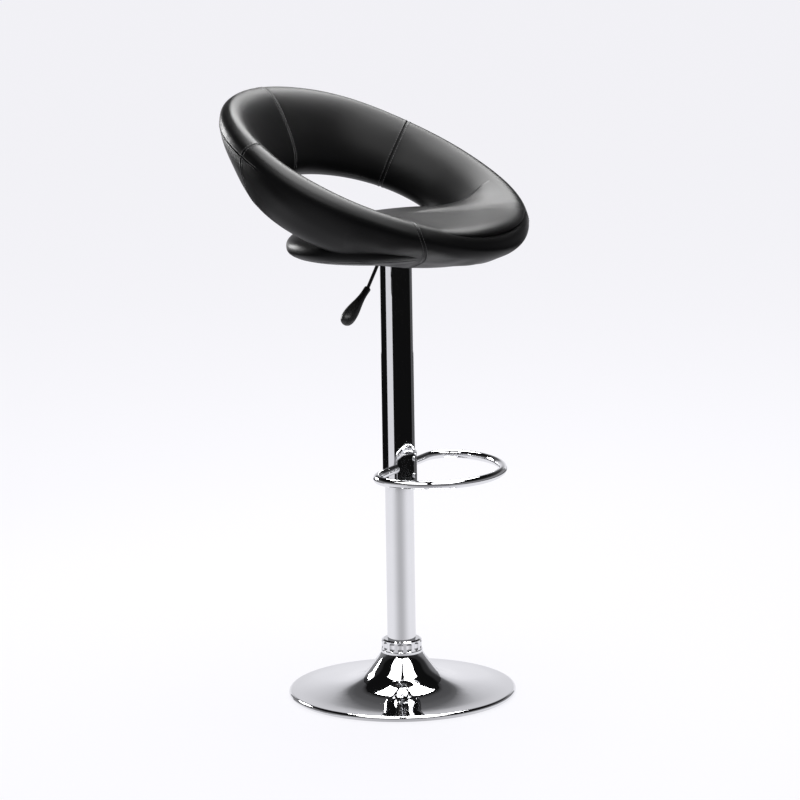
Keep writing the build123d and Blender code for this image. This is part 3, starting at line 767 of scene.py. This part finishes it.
def dress_frame(frame, materials):
    """Gives every CAD node the material of its slot."""
    for row in frame["record"]["subparts"]:
        node = frame["nodes"][row["node"]]
        if not node.material_slots:
            node.data.materials.append(None)
        for place in node.material_slots:
            place.material = materials[row["material_slot"]]


# ---------------------------------------------------------------- studio

NEAR = Vector((CAMERA_PLACE.x, CAMERA_PLACE.y, 0)).normalized()
RIGHT = Vector((-NEAR.y, NEAR.x, 0))


def glow(name, colour, strength):
    """A plain emitting material."""
    material = bpy.data.materials.new(name)
    material.use_nodes = True
    nodes = material.node_tree.nodes
    nodes.clear()
    emission = nodes.new("ShaderNodeEmission")
    emission.inputs["Color"].default_value = (*colour, 1)
    emission.inputs["Strength"].default_value = strength
    output = nodes.new("ShaderNodeOutputMaterial")
    material.node_tree.links.new(emission.outputs["Emission"], output.inputs["Surface"])
    return material


def floor_material():
    """Pale floor that glows a little, so that only a soft shadow shows on it."""
    material = bpy.data.materials.new("studio_floor")
    material.use_nodes = True
    shader = next(n for n in material.node_tree.nodes if n.type == "BSDF_PRINCIPLED")
    shader.inputs["Base Color"].default_value = (*FLOOR_COLOUR, 1)
    shader.inputs["Roughness"].default_value = FLOOR_ROUGH
    shader.inputs["Specular IOR Level"].default_value = 0.0
    shader.inputs["Emission Color"].default_value = (*STUDIO_TINT, 1)
    shader.inputs["Emission Strength"].default_value = FLOOR_GLOW
    return material


def stage_mesh(name, points, faces, material, camera, glossy, diffuse=True, shadow=True):
    """A studio surface, with what kinds of light may meet it."""
    made = new_mesh(name, points, faces, smooth=False)
    made.data.materials.append(material)
    made.visible_camera = camera
    made.visible_glossy = glossy
    made.visible_diffuse = diffuse
    made.visible_shadow = shadow
    return made


def studio_point(right, near, height):
    """A place given to the camera's right, towards the camera and above the floor."""
    return RIGHT * right + NEAR * near + Vector((0, 0, height))


def shine(name, rows, start, end, brightness):
    """A glowing strip round the stool, seen only in reflections.

    Rows are pairs of radius and height. Angles run from the camera towards its right, in degrees, and
    brightness is a function of the angle and the row.
    """
    count = max(2, int(abs(end - start) / 4))
    points, faces, values = [], [], []
    for i in range(count + 1):
        angle = radians(start + (end - start) * i / count)
        for radius, height in rows:
            points.append(studio_point(radius * sin(angle), radius * cos(angle), height))
            values.append(brightness(angle, radius, height))
    width = len(rows)
    for i in range(count):
        for k in range(width - 1):
            low = i * width + k
            faces.append((low, low + 1, low + width + 1, low + width))
    material = glow(name, STUDIO_TINT, 1.0)
    nodes = material.node_tree.nodes
    reader = nodes.new("ShaderNodeAttribute")
    reader.attribute_name = "brightness"
    material.node_tree.links.new(reader.outputs["Fac"], nodes["Emission"].inputs["Strength"])
    made = stage_mesh(name, points, faces, material, False, True, False, False)
    attribute = made.data.attributes.new("brightness", "FLOAT", "POINT")
    attribute.data.foreach_set("value", values)


def area_light(name, place, width, depth, radiance, aim):
    """A soft box of a given brightness, aimed at a point."""
    data = bpy.data.lights.new(name, "AREA")
    data.shape = "RECTANGLE"
    data.size = width
    data.size_y = depth
    data.energy = radiance * pi * width * depth
    made = bpy.data.objects.new(name, data)
    bpy.context.scene.collection.objects.link(made)
    made.location = studio_point(*place)
    made.visible_camera = False
    look = (studio_point(*aim) - made.location).normalized()
    across = RIGHT if abs(look.z) > 0.9 else look.cross(Vector((0, 0, 1))).normalized()
    up = across.cross(look)
    made.matrix_world = Matrix((
        (across.x, up.x, -look.x, made.location.x),
        (across.y, up.y, -look.y, made.location.y),
        (across.z, up.z, -look.z, made.location.z),
        (0, 0, 0, 1)))


def near_floor(angle, radius, height):
    """The floor beside the base: darkest towards the camera."""
    return FLOOR_BRIGHT - FLOOR_DIP * max(0, cos(angle)) ** 3


def steady(value):
    """The same brightness everywhere."""
    def brightness(angle, radius, height):
        return value
    return brightness


def back_wall(angle, radius, height):
    """White low down, then grey, then nearly black."""
    return float(np.interp(height, WALL_HEIGHTS, WALL_VALUES))


def round_wall(angle, radius, height):
    """A dimmer wall further out on the other sides."""
    return ROUND_SHARE * back_wall(angle, radius, height * WALL_RADIUS / radius)


def make_backdrop():
    """The floor and the far walls, which the camera sees."""
    reach = STUDIO_REACH
    square = [(-reach, -reach, 0), (reach, -reach, 0), (reach, reach, 0), (-reach, reach, 0)]
    stage_mesh("studio_floor", square, [(0, 1, 2, 3)], floor_material(), True, False)
    wall = [(x, y, z) for z in (-1, reach) for x, y, _ in square]
    sides = [(0, 1, 5, 4), (1, 2, 6, 5), (2, 3, 7, 6), (3, 0, 4, 7)]
    backdrop = glow("studio_backdrop", STUDIO_TINT, FLOOR_GLOW)
    stage_mesh("studio_walls", wall, sides, backdrop, True, False, False, False)


def make_reflections():
    """The bright floor and walls that only reflections see."""
    shine("shine_floor", [(radius, 0) for radius in FLOOR_RADII], 0, 360, near_floor)
    for name, (inner, outer, start, end, value) in FLOOR_PATCHES.items():
        shine(name, [(inner, 0), (outer, 0)], start, end, steady(value))
    shine("shine_wall", [(WALL_RADIUS, height) for height in WALL_HEIGHTS], 150, 210, back_wall)
    round_rows = [(ROUND_RADIUS, height * ROUND_RADIUS / WALL_RADIUS) for height in WALL_HEIGHTS]
    shine("shine_round", round_rows, 210, 510, round_wall)


def make_world():
    """Almost no light from beyond the studio."""
    world = bpy.data.worlds.new("studio_world")
    bpy.context.scene.world = world
    world.use_nodes = True
    background = world.node_tree.nodes["Background"]
    background.inputs["Color"].default_value = (*WORLD_COLOUR, 1)
    background.inputs["Strength"].default_value = WORLD_STRENGTH


def make_studio():
    """Backdrop, reflections, soft boxes and world."""
    make_backdrop()
    make_reflections()
    for name, setup in SOFT_BOXES.items():
        area_light(name, *setup)
    make_world()


def make_camera():
    """The long-lens camera of the main view."""
    data = bpy.data.cameras.new("camera")
    data.lens = CAMERA_LENS
    data.sensor_width = CAMERA_SENSOR
    data.clip_end = CAMERA_REACH
    camera = bpy.data.objects.new("camera", data)
    bpy.context.scene.collection.objects.link(camera)
    camera.location = CAMERA_PLACE
    aim = RIGHT * CAMERA_AIM_RIGHT + Vector((0, 0, CAMERA_AIM_Z))
    turn = (aim - CAMERA_PLACE).to_track_quat("-Z", "Y").to_matrix()
    camera.rotation_euler = (turn @ Matrix.Rotation(CAMERA_ROLL, 3, "Z")).to_euler()
    bpy.context.scene.camera = camera
    bpy.context.scene.view_settings.view_transform = "Standard"


# ---------------------------------------------------------------- build

def upholster(materials):
    """Puts the finished upholstery in place of the two plain soft solids."""
    ring, points, fine_turn, fine_roll = make_ring()
    ring.data.materials.append(materials["black_leather"])
    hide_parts("back_ring")
    stitches = make_stitches(points, fine_turn, fine_roll)
    stitches.data.materials.append(materials["thread"])
    pad = make_pad(ring)
    pad.data.materials.append(materials["black_leather"])
    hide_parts("seat_pad")
    for piece in (ring, stitches, pad):
        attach(piece, "seat")


def main():
    """Loads the frame, dresses it, upholsters it, and sets up the studio and camera."""
    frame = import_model()
    materials = make_materials()
    dress_frame(frame, materials)
    upholster(materials)
    make_studio()
    make_camera()


main()
